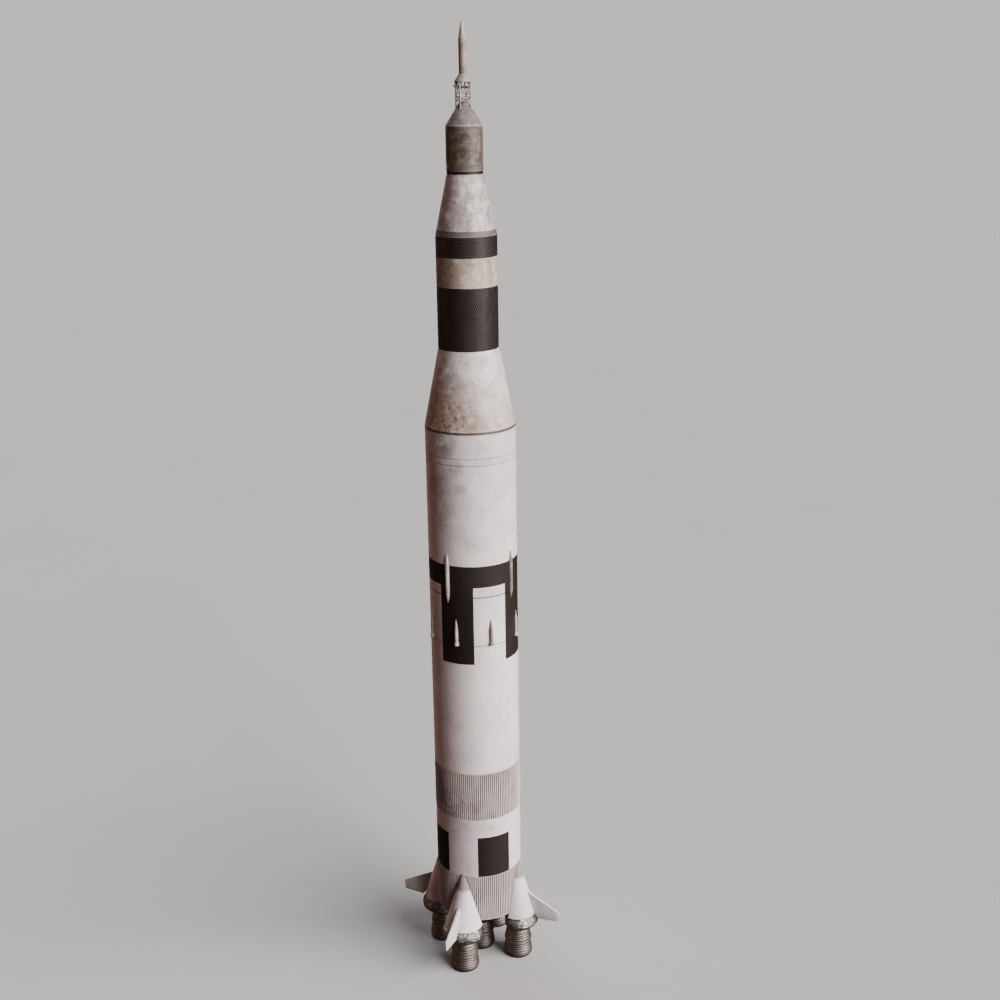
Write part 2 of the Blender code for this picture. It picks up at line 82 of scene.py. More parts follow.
def calc(operation, *values, clamp=False):
    while len(values) > 2:  # longer sums and products are taken from the left
        values = (calc(operation, *values[:2]), *values[2:])
    kind = signs.get(operation, operation)
    return addNode("Math", dict(enumerate(values)), operation=kind, use_clamp=clamp).outputs[0]


def blend(factor, first, second):
    ends = {"Factor": factor, 6: first, 7: second}
    return addNode("Mix", ends, data_type="RGBA", clamp_factor=True).outputs[2]


def tinted(colour, mask, tint, strength=1.0):
    return blend(calc("*", mask, strength), colour, tint)


def remap(value, low, high, toLow=0.0, toHigh=1.0):
    ends = {"Value": value, "From Min": low, "From Max": high, "To Min": toLow, "To Max": toHigh}
    return addNode("MapRange", ends, clamp=True).outputs["Result"]


def noiseMask(vector, scale, detail=4.0, rough=0.6):
    inputs = {"Vector": vector, "Scale": scale, "Detail": detail, "Roughness": rough}
    return addNode("TexNoise", inputs).outputs["Fac"]


def stretched(vector, up, across=1.0):
    return addNode("Mapping", {"Vector": vector, "Scale": (across, across, up)}).outputs["Vector"]


def splitUp(vector):
    return addNode("SeparateXYZ", {0: vector}).outputs


def flatLength(x, y):
    return calc("SQRT", calc("+", calc("*", x, x), calc("*", y, y)))


def angleRound(xyz):
    return calc("ARCTAN2", xyz["X"], calc("*", xyz["Y"], -1.0))


# engine fairings: cones over the outer engines, cut open by the body's side
fairing = {
    "tipOut": 0.466,
    "tipHeight": 1.38,
    "footOut": 0.494,
    "footHeight": 0.587,
    "footRadius": 0.224,
    "bodyRadius": 0.5053,
    "wall": 0.006,
    "mergeDistance": 0.00005,
    "around": 96,
    "along": 40,
    "contactShadow": 0.018,  # width of the painted contact shadow along a fairing's edge
}


# shader groups that several finishes share
def makeGroup(name, build, outputs=("Mask",), **inputs):
    # an input of None is a vector, and each other one is a number with its usual value
    group = shading["tree"] = bpy.data.node_groups.new(name, "ShaderNodeTree")
    for key, value in {"Vector": None, **inputs}.items():
        kind = "NodeSocketVector" if value is None else "NodeSocketFloat"
        socket = group.interface.new_socket(key, in_out="INPUT", socket_type=kind)
        if value is not None:
            socket.default_value = value
    for key in outputs:
        group.interface.new_socket(key, in_out="OUTPUT", socket_type="NodeSocketFloat")
    results = build(group.nodes.new("NodeGroupInput").outputs)
    end = group.nodes.new("NodeGroupOutput")
    for key, value in zip(outputs, results):
        join(value, end.inputs[key])
    return group


def placeGroup(group, vector, **inputs):
    return addNode("Group", {"Vector": vector, **inputs}, node_tree=group).outputs


def paintWeather(start):
    vector = start["Vector"]
    clouds = noiseMask(vector, start["Clouds"], 6.0, 0.66)
    middle = noiseMask(vector, 11.0, 7.0, 0.72)
    tone = noiseMask(stretched(vector, 0.75), start["Tones"], 6.0, 0.62)
    fine = noiseMask(stretched(vector, 0.7), start["Specks"], 8.0, 0.78)
    streak = noiseMask(stretched(vector, 0.5, 14.0), 1.0)
    mottle = noiseMask(stretched(vector, 0.6), 26.0, 5.0, 0.7)
    patch = calc("*", remap(clouds, 0.46, 0.64), remap(middle, 0.4, 0.62))
    grit = calc("+", remap(fine, 0.48, 0.66), 0.18)
    blotch = calc("*", patch, grit, start["Amount"], clamp=True)
    cloudy = calc("*", remap(clouds, 0.38, 0.62), remap(middle, 0.3, 0.62))
    smudge = calc("*", cloudy, start["Smudges"], clamp=True)
    return blotch, smudge, remap(streak, 0.45, 0.75), remap(tone, 0.38, 0.6), remap(mottle, 0.42, 0.62)


def dirtPatch(start):
    # a soft round patch about one place, ragged at its edge
    ends = {0: start["Vector"], 1: start["Centre"]}
    away = addNode("VectorMath", ends, operation="DISTANCE").outputs["Value"]
    near = calc("-", 1.0, calc("/", away, start["Radius"]), clamp=True)
    ragged = remap(noiseMask(start["Vector"], 9.0, 7.0, 0.7), 0.36, 0.56)
    return (calc("*", remap(near, 0.0, 0.6), ragged, start["Strength"], clamp=True),)


def ringLine(start):
    height = splitUp(start["Vector"])["Z"]
    away = calc("ABSOLUTE", calc("-", height, start["Height"]))
    past = calc("/", calc("-", away, start["Half"]), start["Soft"])
    return (calc("-", 1.0, past, clamp=True),)


def paintBand(start):
    # a band that comes back at every quarter turn
    xyz = splitUp(start["Vector"])
    angle = calc("DEGREES", angleRound(xyz))
    quarter = calc("MODULO", calc("-", calc("+", angle, 405.0), start["Turn"]), 90.0)
    away = calc("ABSOLUTE", calc("-", quarter, 45.0))
    inside = calc("LESS_THAN", away, start["HalfAngle"])
    above = calc("GREATER_THAN", xyz["Z"], start["Low"])
    below = calc("LESS_THAN", xyz["Z"], start["High"])
    return (calc("*", inside, above, below),)


def fairingContactShadow(start):
    # painted contact shadow along the line where the engine fairings meet the body
    xyz = splitUp(start["Vector"])
    across, along = (calc("ABSOLUTE", xyz[axis]) for axis in "XY")
    out, beside = (calc(pick, across, along) for pick in ("MAXIMUM", "MINIMUM"))
    rise = calc("-", xyz["Z"], fairing["footHeight"])
    share = calc("/", rise, fairing["tipHeight"] - fairing["footHeight"])
    inwards = calc("*", share, fairing["footOut"] - fairing["tipOut"])
    axisOut = calc("-", fairing["footOut"], inwards)
    radius = calc("*", calc("-", 1.0, share), fairing["footRadius"])
    away = flatLength(beside, calc("-", out, axisOut))
    gap = calc("ABSOLUTE", calc("-", away, radius))
    return (calc("-", 1.0, calc("/", gap, fairing["contactShadow"]), clamp=True),)


def hullKnurl(start):
    xyz = splitUp(start["Vector"])
    around = calc("SINE", calc("*", angleRound(xyz), start["Count"]))
    upward = calc("SINE", calc("/", calc("*", xyz["Z"], tau), start["Pitch"]))
    return (remap(calc("*", around, upward), 0.15, 0.6),)


weatherGroup = makeGroup(
    "paintWeather", paintWeather, ("Blotch", "Smudge", "Streak", "Tone", "Mottle"),
    Clouds=1.6, Specks=45.0, Amount=0.5, Smudges=0.5, Tones=0.9)
patchGroup = makeGroup("dirtPatch", dirtPatch, Centre=None, Radius=0.3, Strength=1.0)
ringLineGroup = makeGroup("ringLine", ringLine, Height=1.0, Half=0.003, Soft=0.002)
bandGroup = makeGroup("paintBand", paintBand, Turn=0.0, HalfAngle=22.3, Low=0.0, High=1.0)
knurlGroup = makeGroup("hullKnurl", hullKnurl, ("Dots",), Count=144.0, Pitch=0.046)
contactShadowGroup = makeGroup("fairingContactShadow", fairingContactShadow)
print("shader groups ready")


def ringMask(vector, height, half, soft):
    return placeGroup(ringLineGroup, vector, Height=height, Half=half, Soft=soft)["Mask"]


def spotMask(vector, spot):
    azimuth, distance, height, radius, strength = spot
    centre = tuple(outAt(azimuth, distance, height))
    return placeGroup(patchGroup, vector, Centre=centre, Radius=radius, Strength=strength)["Mask"]


# finishes
def startMaterial(name, metal=0.0, specular=0.5):
    material = bpy.data.materials.new(name)
    material.use_nodes = True
    shading["tree"] = material.node_tree
    shader = material.node_tree.nodes["Principled BSDF"]
    shader.inputs["Metallic"].default_value = metal
    shader.inputs["Specular IOR Level"].default_value = specular
    return material, shader, addNode("TexCoord").outputs["Object"]


def finishMaterial(material, shader, colour, rough, height, strength, distance):
    bump = addNode("Bump", {"Strength": strength, "Distance": distance, "Height": height})
    for key, value in (("Base Color", colour), ("Roughness", rough), ("Normal", bump.outputs["Normal"])):
        join(value, shader.inputs[key])
    return material


hull = {
    "white": (0.82, 0.716, 0.712),
    "shade": (0.69, 0.585, 0.6),
    "smudge": (0.3, 0.248, 0.268),
    "stain": (0.33, 0.236, 0.178),
    "dirt": (0.085, 0.058, 0.042),
    "black": (0.0024, 0.0015, 0.0011),
    "blackDotHighlight": (0.059, 0.041, 0.034),
    "blackRough": -0.12,  # the black paint is this much smoother
    "lineColour": (0.036, 0.025, 0.019),
    "lineSoft": 0.004,
    "gloss": 0.38,
    "lowerDots": 124.0,  # round the first and second stages
    "upperDots": 84.0,  # round the third stage
}


def blackPaint(vector, bands, dots, tone):
    masks = [placeGroup(bandGroup, vector, Turn=turn, HalfAngle=half, Low=low, High=high)["Mask"]
             for turn, half, low, high in bands]
    # the knurl's dots are painted lighter, as highlights on their bumps, with some random tone
    worn = calc("+", calc("*", dots, 0.88), calc("*", tone, 0.1), clamp=True)
    colour = blend(worn, hull["black"], hull["blackDotHighlight"])
    return calc("MAXIMUM", 0.0, *masks), colour


def makeHullMaterial(name, dirtAmount, blackBands=(), lines=(), white=hull["white"],
                     shade=hull["shade"], smudge=hull["smudge"],
                     knurlCount=hull["lowerDots"], clouds=1.6, tones=0.9, patches=(), stains=(),
                     smudges=0.5, mottle=0.08, washes=()):
    material, shader, vector = startMaterial(name, specular=hull["gloss"])
    weather = placeGroup(weatherGroup, vector, Amount=dirtAmount, Clouds=clouds, Smudges=smudges, Tones=tones)
    colour = blend(weather["Tone"], shade, white)
    colour = blend(weather["Smudge"], colour, smudge)
    colour = tinted(colour, weather["Mottle"], smudge, mottle)
    for height, half, soft, strength, tint in washes:  # broad tints that fade with height
        uneven = remap(weather["Mottle"], 0.0, 1.0, 0.8, 1.0)
        mask = calc("*", ringMask(vector, height, half, soft), uneven)
        colour = tinted(colour, mask, tint, strength)
    blotch = weather["Blotch"]
    if patches or stains:
        fine = noiseMask(stretched(vector, 0.5), 44.0, 8.0, 0.8)
        grit = remap(fine, 0.47, 0.58)
    for spots, tint, gritty in ((patches, hull["smudge"], 0.45), (stains, hull["stain"], 1.0)):
        for spot in spots:
            mask = spotMask(vector, spot)
            colour = tinted(colour, mask, tint, 0.85)
            blotch = calc("MAXIMUM", blotch, calc("*", mask, grit, gritty))
    colour = tinted(colour, weather["Streak"], hull["smudge"], 0.12)
    colour = blend(blotch, colour, hull["dirt"])
    rough = calc("+", 0.42, calc("*", weather["Tone"], 0.1))
    dots = placeGroup(knurlGroup, vector, Count=knurlCount)["Dots"]
    grain = noiseMask(vector, 160.0, 3.0, 0.6)
    height = calc("+", calc("*", grain, 0.25), calc("*", dots, 0.12))
    for lineHeight, half, strength in lines:
        mask = calc("*", ringMask(vector, lineHeight, half, hull["lineSoft"]), strength)
        colour = blend(mask, colour, hull["lineColour"])
        height = calc("-", height, mask)
    if blackBands:
        mask, blackColour = blackPaint(vector, blackBands, dots, weather["Tone"])
        colour = blend(mask, colour, blackColour)
        height = calc("+", height, calc("*", dots, mask, 2.2))
        rough = calc("+", rough, calc("*", mask, hull["blackRough"]))
    return finishMaterial(material, shader, colour, rough, height, 0.45, 0.003)


fluteFinish = {
    "crest": (0.68, 0.585, 0.56),
    "worn": (0.43, 0.35, 0.325),
    # valley is painted shade in the grooves between the ribs
    "valley": (0.052, 0.037, 0.031),
    "smudge": (0.205, 0.15, 0.162),
    "dirt": (0.12, 0.085, 0.07),
    "crestRadius": 0.5045,
    "valleyRadius": 0.499,
    # spots of dirt: azimuth, distance, height, radius and strength
    "spots": (
        (-14, 0.5, 2.16, 0.34, 1.0), (12, 0.5, 2.06, 0.26, 0.9), (34, 0.5, 2.0, 0.18, 0.6),
        (-44, 0.5, 2.2, 0.24, 0.5), (170, 0.5, 2.2, 0.4, 0.8)),
}


def makeFluteMaterial():
    material, shader, vector = startMaterial("flutedPanel")
    weather = placeGroup(weatherGroup, vector, Amount=0.35, Clouds=2.2)
    xyz = splitUp(vector)
    radius = flatLength(xyz["X"], xyz["Y"])
    # painted shade: the colour darkens from each rib's crest down into the groove
    depth = remap(radius, fluteFinish["valleyRadius"], fluteFinish["crestRadius"])
    colour = blend(depth, fluteFinish["valley"], fluteFinish["crest"])
    colour = tinted(colour, calc("*", depth, 0.4), fluteFinish["worn"], weather["Tone"])
    spots = [spotMask(vector, spot) for spot in fluteFinish["spots"]]
    soft = calc("MAXIMUM", weather["Smudge"], *spots)
    colour = tinted(colour, soft, fluteFinish["smudge"], 0.85)
    colour = blend(weather["Blotch"], colour, fluteFinish["dirt"])
    # painted contact shadow along the fairings' edges, in the dirt colour
    contactShadow = placeGroup(contactShadowGroup, vector)["Mask"]
    colour = tinted(colour, contactShadow, fluteFinish["dirt"], 0.85)
    return finishMaterial(material, shader, colour, 0.5, noiseMask(vector, 120.0), 0.15, 0.001)


bellFinish = {
    # crest is the colour of the painted highlight on the rings
    "crest": (0.5, 0.44, 0.405),
    "valley": (0.074, 0.059, 0.053),
    "dull": (0.098, 0.081, 0.075),
    "warm": (0.2, 0.15, 0.11),
    # dark colour of the painted shade towards the cluster's middle and of the bells' lining
    "shadeAndLining": (0.018, 0.016, 0.015),
    # hoops of painted light, a lighter neck under the flange where its shade falls and a painted highlight on
    # the flange: height, half the width, softness, colour and strength
    "hoops": (
        (0.186, 0.012, 0.016, (0.3, 0.26, 0.24), 0.6), (0.2155, 0.0055, 0.003, (0.46, 0.415, 0.39), 0.8)),
    "shadeNear": 0.12,  # distances from the rocket's axis where the painted shade is darkest and where it ends
    "shadeFar": 0.36,
    "shadeShare": 0.48,
}


def makeBellMaterial():
    material, shader, vector = startMaterial("bellMetal", 1.0)
    xyz = splitUp(vector)
    glints = noiseMask(stretched(vector, 70.0, 18.0), 1.0, 3.0, 0.6)
    patches = noiseMask(vector, 9.0, 5.0, 0.65)
    # one painted highlight along the crest of each wrapped ring, broken up by painted glints
    crest = calc("ABSOLUTE", calc("SINE", calc("*", xyz["Z"], pi / ringPitch)))
    shine = calc("*", remap(crest, 0.45, 0.95), remap(glints, 0.36, 0.6, 0.25, 1.0))
    colour = blend(remap(patches, 0.35, 0.65), bellFinish["valley"], bellFinish["dull"])
    colour = blend(shine, colour, bellFinish["crest"])
    colour = blend(remap(patches, 0.45, 0.75, 0.0, 0.6), colour, bellFinish["warm"])
    # painted light: the shaded neck lightened, and a highlight along the flange
    for height, half, soft, tint, strength in bellFinish["hoops"]:
        colour = tinted(colour, ringMask(vector, height, half, soft), tint, strength)
    # painted shade, darker towards the middle of the cluster, and a darker lining inside the bells
    away = flatLength(xyz["X"], xyz["Y"])
    middle = remap(away, bellFinish["shadeNear"], bellFinish["shadeFar"], bellFinish["shadeShare"], 0.0)
    lining = addNode("Attribute", attribute_name="lining").outputs["Fac"]
    for mask in (middle, lining):
        colour = blend(mask, colour, bellFinish["shadeAndLining"])
    height = calc("+", calc("*", glints, 0.5), patches)
    return finishMaterial(material, shader, colour, remap(glints, 0.3, 0.7, 0.6, 0.42), height, 0.3, 0.002)


foilFinish = {
    "bright": (0.5, 0.464, 0.455),
    "dull": (0.21, 0.184, 0.18),
    "tarnish": (0.14, 0.108, 0.092),
    "creases": 13.0,
}


def makeFoilMaterial():
    material, shader, vector = startMaterial("silverFoil", 0.95)
    flat = stretched(vector, 2.2)
    crinkle = noiseMask(flat, 18.0, 7.0, 0.66)
    patches = noiseMask(flat, 7.0)
    facets = calc("*", remap(patches, 0.42, 0.62), remap(crinkle, 0.42, 0.58, 0.15, 1.0))
    colour = blend(facets, foilFinish["dull"], foilFinish["bright"])
    tarnish = remap(noiseMask(vector, 3.5), 0.5, 0.75, 0.0, 0.6)
    colour = blend(tarnish, colour, foilFinish["tarnish"])
    # flat facets that slope up from every crease
    inputs = {"Vector": flat, "Scale": foilFinish["creases"]}
    creases = addNode("TexVoronoi", inputs, feature="DISTANCE_TO_EDGE").outputs["Distance"]
    height = calc("+", crinkle, calc("*", remap(creases, 0.0, 0.4), 1.6))
    return finishMaterial(material, shader, colour, remap(patches, 0.3, 0.7, 0.56, 0.36), height, 0.5, 0.01)


moduleFinish = {
    "light": (0.225, 0.166, 0.136),
    "middle": (0.086, 0.059, 0.047),
    "dark": (0.038, 0.025, 0.02),
    "grey": (0.135, 0.106, 0.103),
    "joint": (0.012, 0.01, 0.009),
    "jointTop": 9.354,
    # heights and half widths
    "greyBands": ((9.397, 0.034), (9.775, 0.012)),
    "hoops": ((9.382, 0.004), (9.402, 0.003), (9.419, 0.003), (9.781, 0.004), (9.759, 0.003)),
}


def makeModuleMaterial():
    material, shader, vector = startMaterial("moduleSkin")
    height = splitUp(vector)["Z"]
    clouds = noiseMask(vector, 10.0, 8.0, 0.72)
    cells = noiseMask(stretched(vector, 0.8), 24.0, 6.0, 0.6)
    colour = blend(remap(clouds, 0.3, 0.6), moduleFinish["dark"], moduleFinish["middle"])
    worn = calc("*", remap(clouds, 0.45, 0.68), remap(cells, 0.34, 0.6))
    colour = blend(worn, colour, moduleFinish["light"])
    for middle, half in moduleFinish["greyBands"]:
        pale = ringMask(vector, middle, half, 0.02)
        colour = tinted(colour, pale, moduleFinish["grey"], 0.5)
    hoops = [ringMask(vector, middle, half, 0.003) for middle, half in moduleFinish["hoops"]]
    bands = calc("MAXIMUM", *hoops)
    colour = tinted(colour, bands, moduleFinish["dark"], 0.55)
    inJoint = remap(height, moduleFinish["jointTop"] - 0.001, moduleFinish["jointTop"], 1.0, 0.0)
    colour = blend(inJoint, colour, moduleFinish["joint"])
    relief = calc("-", calc("*", cells, 0.6), bands)
    return finishMaterial(material, shader, colour, remap(cells, 0.3, 0.7, 0.6, 0.44), relief, 0.35, 0.003)


def makePlainPaint(name, light, dark, dirt, dirtAmount, rough, metal=0.0, clouds=6.0, rims=()):
    material, shader, vector = startMaterial(name, metal)
    weather = placeGroup(weatherGroup, vector, Amount=dirtAmount, Clouds=clouds, Specks=90.0)
    patches = noiseMask(vector, clouds * 1.7, 5.0, 0.62)
    colour = blend(remap(patches, 0.38, 0.6), dark, light)
    shares = {"Smudge": 0.5, "Mottle": 0.35 * dirtAmount, "Blotch": 1.0, "Streak": 0.2}
    for output, strength in shares.items():
        colour = tinted(colour, weather[output], dirt, strength)
    for height, half, tint in rims:
        colour = tinted(colour, ringMask(vector, height, half, 0.003), tint, 0.9)
    rough = remap(patches, 0.3, 0.7, rough + 0.08, rough - 0.05)
    return finishMaterial(material, shader, colour, rough, noiseMask(vector, 150.0), 0.2, 0.001)


# black bands: turn, half angle, low and high
allRound = 46.0  # half angle of a band that closes on itself
stripeBand = (0.0, 22.8, 3.962, 4.881)
collarBand = (0.0, allRound, 4.8809, 5.13)
squareBand = (45.0, 23.3, 1.235, 1.755)
lowerThirdBand = (0.0, allRound, 7.0, 8.167)
wholeBand = (0.0, allRound, 0.0, 20.0)

# lines: height, half the width and strength
upperLines = ((6.281, 0.0026, 0.6), (6.356, 0.0024, 0.55))

# spots of dirt: azimuth, distance, height, radius and strength
coneStains = (
    (-8, 0.48, 6.76, 0.34, 1.0), (-36, 0.47, 6.86, 0.36, 0.9), (14, 0.48, 6.74, 0.28, 0.9),
    (34, 0.48, 6.72, 0.22, 0.5), (-20, 0.43, 7.04, 0.24, 0.5), (150, 0.47, 6.8, 0.45, 0.9),
    (220, 0.45, 6.95, 0.35, 0.7))
conePatches = (
    (-22, 0.4, 7.16, 0.26, 0.8), (-34, 0.36, 7.38, 0.22, 0.9), (4, 0.42, 7.1, 0.16, 0.7),
    (-12, 0.39, 7.26, 0.14, 0.6), (38, 0.41, 7.12, 0.1, 0.4), (26, 0.44, 6.98, 0.12, 0.5),
    (240, 0.4, 7.2, 0.3, 0.8))
upperPatches = (
    (-16, 0.5, 6.52, 0.22, 0.8), (-6, 0.5, 6.46, 0.12, 0.6), (4, 0.5, 6.25, 0.11, 0.8),
    (-22, 0.5, 6.06, 0.26, 0.6), (10, 0.5, 6.02, 0.1, 0.5), (-18, 0.5, 5.7, 0.26, 0.55),
    (20, 0.5, 5.38, 0.12, 0.4), (160, 0.5, 6.3, 0.5, 0.6), (250, 0.5, 5.6, 0.4, 0.5))
tankPatches = (
    (-14, 0.5, 3.35, 0.3, 0.16), (-6, 0.5, 2.78, 0.2, 0.2), (-6, 0.5, 1.86, 0.24, 0.5),
    (38, 0.5, 1.9, 0.14, 0.45), (180, 0.5, 3.0, 0.4, 0.4))
thirdStains = ((-50, 0.32, 8.33, 0.34, 1.0), (-18, 0.33, 8.36, 0.22, 0.7), (140, 0.32, 8.3, 0.3, 0.7))
adapterPatches = ((-55, 0.28, 8.95, 0.34, 0.9), (-40, 0.24, 9.15, 0.24, 0.8), (120, 0.3, 8.9, 0.22, 0.6))
tipPatches = tuple((azimuth, 0.53, *place) for azimuth in quarters
                   for place in ((1.25, 0.16, 0.9), (1.14, 0.15, 0.7)))

hullPaints = {
    "firstStagePaint": dict(
        dirtAmount=0.22, blackBands=(stripeBand, squareBand), patches=tankPatches, smudges=0.25, clouds=2.4,
        lines=((4.183, 0.002, 0.8), (2.583, 0.001, 0.3))),
    "interstagePaint": dict(
        dirtAmount=0.25, blackBands=(stripeBand, collarBand), smudges=0.25, clouds=2.4,
        lines=((4.183, 0.0028, 0.8), (4.764, 0.0042, 0.9), (4.84, 0.001, 0.25))),
    "secondStagePaint": dict(
        dirtAmount=0.35, blackBands=(collarBand,), lines=upperLines, clouds=2.6, patches=upperPatches,
        smudges=0.35, mottle=0.14),
    "forwardSkirtPaint": dict(
        dirtAmount=0.45, lines=(*upperLines, (6.632, 0.0075, 0.9), (6.609, 0.002, 0.3)), clouds=2.6,
        patches=upperPatches, smudges=0.4, mottle=0.16),
    "coneInterstagePaint": dict(
        dirtAmount=0.7, lines=((6.641, 0.0075, 0.9),), clouds=3.6, tones=5.0, shade=(0.53, 0.45, 0.425),
        patches=conePatches, stains=coneStains, smudges=0.6, mottle=0.3,
        washes=((6.64, 0.08, 0.5, 0.6, (0.44, 0.34, 0.275)),)),
    "thirdStagePaint": dict(
        dirtAmount=0.6, blackBands=(lowerThirdBand,), white=(0.6, 0.505, 0.45), shade=(0.36, 0.29, 0.25),
        smudge=(0.24, 0.175, 0.135), smudges=0.8, knurlCount=hull["upperDots"], clouds=7.0,
        tones=11.0, mottle=0.4, stains=thirdStains),
    "thirdStageBlack": dict(dirtAmount=0.4, blackBands=(wholeBand,), knurlCount=hull["upperDots"]),
    "adapterPaint": dict(
        dirtAmount=0.9, lines=((8.729, 0.026, 0.8),), patches=adapterPatches, white=(0.66, 0.58, 0.575),
        shade=(0.36, 0.3, 0.3), smudge=(0.23, 0.185, 0.185), clouds=8.0, tones=12.0, smudges=0.9,
        mottle=0.6),
    "fairingPaint": dict(
        dirtAmount=0.3, clouds=3.0, patches=tipPatches, smudges=0.3, white=(0.77, 0.664, 0.695),
        shade=(0.64, 0.548, 0.58), washes=((1.26, 0.18, 0.035, 0.95, (0.125, 0.102, 0.1)),)),
}
materials = {name: makeHullMaterial(name, **values) for name, values in hullPaints.items()}
materials.update(flute=makeFluteMaterial(), bell=makeBellMaterial(), foil=makeFoilMaterial(),
                 module=makeModuleMaterial())

# light, dark and dirt colours, amount of dirt and roughness, then metal, size of clouds and rims
plainPaints = {
    "coverPaint": (
        (0.195, 0.16, 0.153), (0.1, 0.08, 0.079), (0.05, 0.038, 0.035), 0.9, 0.7, 0.0, 9.0,
        ((9.819, 0.0035, (0.31, 0.27, 0.26)),)),
    "towerPaint": ((0.47, 0.41, 0.375), (0.28, 0.235, 0.205), (0.09, 0.066, 0.052), 0.6, 0.6),
    "motorPaint": ((0.35, 0.275, 0.22), (0.205, 0.152, 0.118), (0.1, 0.068, 0.048), 0.7, 0.6, 0.0, 9.0),
    "skirtPaint": ((0.33, 0.285, 0.262), (0.2, 0.168, 0.15), (0.08, 0.06, 0.05), 0.6, 0.6),
    "nosePaint": ((0.44, 0.375, 0.345), (0.3, 0.248, 0.226), (0.15, 0.115, 0.095), 0.4, 0.55),
    "finPaint": ((0.72, 0.665, 0.67), (0.58, 0.53, 0.54), (0.17, 0.135, 0.12), 0.25, 0.5, 0.0, 2.4),
    "smallPaint": ((0.6, 0.545, 0.5), (0.36, 0.315, 0.285), (0.12, 0.09, 0.075), 0.8, 0.55, 0.0, 12.0),
    "darkerPodPaint": ((0.3, 0.24, 0.225), (0.17, 0.13, 0.125), (0.06, 0.045, 0.04), 0.9, 0.6, 0.0, 12.0),
    "shieldPaint": ((0.42, 0.4, 0.38), (0.28, 0.265, 0.25), (0.07, 0.06, 0.05), 0.9, 0.65),
    "gimbalSteel": ((0.42, 0.41, 0.4), (0.25, 0.24, 0.235), (0.06, 0.05, 0.04), 0.6, 0.38, 0.9, 20.0),
}
for name, values in plainPaints.items():
    materials[name] = makePlainPaint(name, *values)
print("finishes ready:", len(materials))


# mesh helpers
def meshOf(bm, name):
    mesh = bpy.data.meshes.new(name)
    bm.to_mesh(mesh)
    bm.free()
    return mesh


def finishPiece(name, mesh, finish, node, body="vehicle", smoothAngle=38.0):
    bm = bmesh.new()
    bm.from_mesh(mesh)
    bmesh.ops.remove_doubles(bm, verts=bm.verts, dist=mergeDistance)
    bm.to_mesh(mesh)
    bm.free()
    mesh.shade_smooth()
    mesh.set_sharp_from_angle(angle=radians(smoothAngle))
    mesh.materials.append(materials[finish])
    piece = bpy.data.objects.new(name, mesh)
    scene.collection.objects.link(piece)
    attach(piece, body)
    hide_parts(node)


def spun(name, points, steps, closedLine=False):
    bm = bmesh.new()
    verts = [bm.verts.new((r, 0.0, z)) for r, z in points]
    edges = [bm.edges.new(pair) for pair in zip(verts, verts[1:])]
    if closedLine:
        edges.append(bm.edges.new((verts[-1], verts[0])))
    bmesh.ops.spin(bm, geom=verts + edges, cent=(0, 0, 0), axis=(0, 0, 1), angle=tau,
                   steps=steps, use_merge=True, use_duplicate=False)
    bmesh.ops.remove_doubles(bm, verts=bm.verts, dist=mergeDistance)
    bmesh.ops.recalc_face_normals(bm, faces=bm.faces)
    return meshOf(bm, name)


def placed(mesh, azimuth, distance=0.0):
    mesh.transform(turned(azimuth) @ Matrix.Translation((0.0, -distance, 0.0)))
    return mesh


def vertsOf(made):
    return [item for item in made["geom"] if isinstance(item, bmesh.types.BMVert)]


def onCurve(p0, p1, p2, p3, t):
    # on a smooth line through four values, from the second to the third
    return 0.5 * (2 * p1 + (p2 - p0) * t + (2 * p0 - 5 * p1 + 4 * p2 - p3) * t * t
                  + (3 * p1 - p0 - 3 * p2 + p3) * t ** 3)


# camera, floor and light
photoCamera = {
    "azimuth": 23.6,
    "distance": 14.9122,
    "height": 10.3276,
    "yaw": 1.2169,
    "pitch": 17.0823,
    "roll": 0.8568,
    "lens": 50.0,
    "sensor": 36.0,
    "farthest": 200.0,
}


def placeCamera():
    yaw, pitch, roll = (photoCamera[key] for key in ("yaw", "pitch", "roll"))
    place = Matrix.Translation((0.0, -photoCamera["distance"], photoCamera["height"]))
    aim = turned(-yaw) @ turned(90.0 - pitch, "X") @ turned(-roll)
    data = bpy.data.cameras.new("photoCamera")
    data.lens = photoCamera["lens"]
    data.sensor_width = photoCamera["sensor"]
    data.clip_end = photoCamera["farthest"]
    camera = bpy.data.objects.new("photoCamera", data)
    camera.matrix_world = turned(photoCamera["azimuth"]) @ place @ aim
    scene.collection.objects.link(camera)
    scene.camera = camera


studio = {
    "floorRadius": 180.0,
    "floorColour": (0.43, 0.421, 0.418),
    "floorShade": (0.39, 0.381, 0.378),
    "wallColour": (0.748, 0.704, 0.687),  # what the camera sees beyond the floor
    "worldColour": (1.0, 0.8, 0.76),  # dim even light on the rocket
    "worldStrength": 0.045,
    "lightOut": 14.0,
    "lights": (
        # name, azimuth, height and softness in degrees, strength, colour
        ("mainLight", 82.0, 27.0, 60.0, 9.9, (1.0, 0.965, 0.955)),
        ("warmLight", -72.0, 6.0, 25.0, 0.34, (1.0, 0.44, 0.24)),
        ("backLight", 222.0, 24.0, 44.0, 2.1, (0.94, 0.93, 1.0)),
    ),
}


